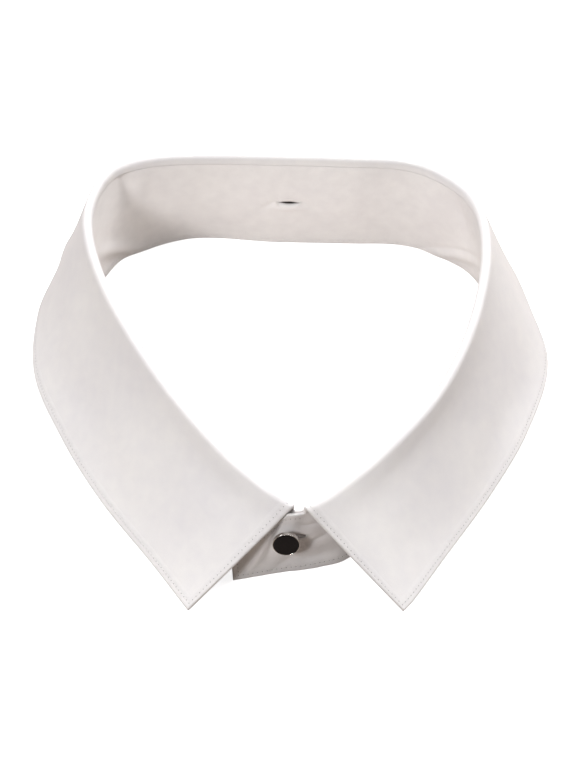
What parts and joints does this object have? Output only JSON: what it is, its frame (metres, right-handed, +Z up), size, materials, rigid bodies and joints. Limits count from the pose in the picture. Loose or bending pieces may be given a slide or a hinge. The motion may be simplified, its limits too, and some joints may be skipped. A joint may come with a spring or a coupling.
{
  "type": "detachable shirt collar",
  "caption": "Turn-down detachable shirt collar with spread points, closed into a ring by a stud and standing by itself.",
  "frame": {"origin": "under the middle of the collar's box, on the surface it stands on", "axes": "+Z up, +Y towards the centre back, -Y towards the stud and the points, +X towards the wearer's left side, which is the viewer's right"},
  "size_m": [0.1528, 0.1596, 0.0377],
  "materials": {
    "cotton_stand": "crisp white cotton, fused",
    "cotton_fall": "crisp white cotton, fused and edge-stitched",
    "stud_metal": "polished silver",
    "stud_black": "polished black inlay"
  },
  "bodies": {
    "root": {"stand": "cotton_stand", "fall": "cotton_fall", "stud": "stud_metal", "stud_face": "stud_black"}
  },
  "joints": []
}
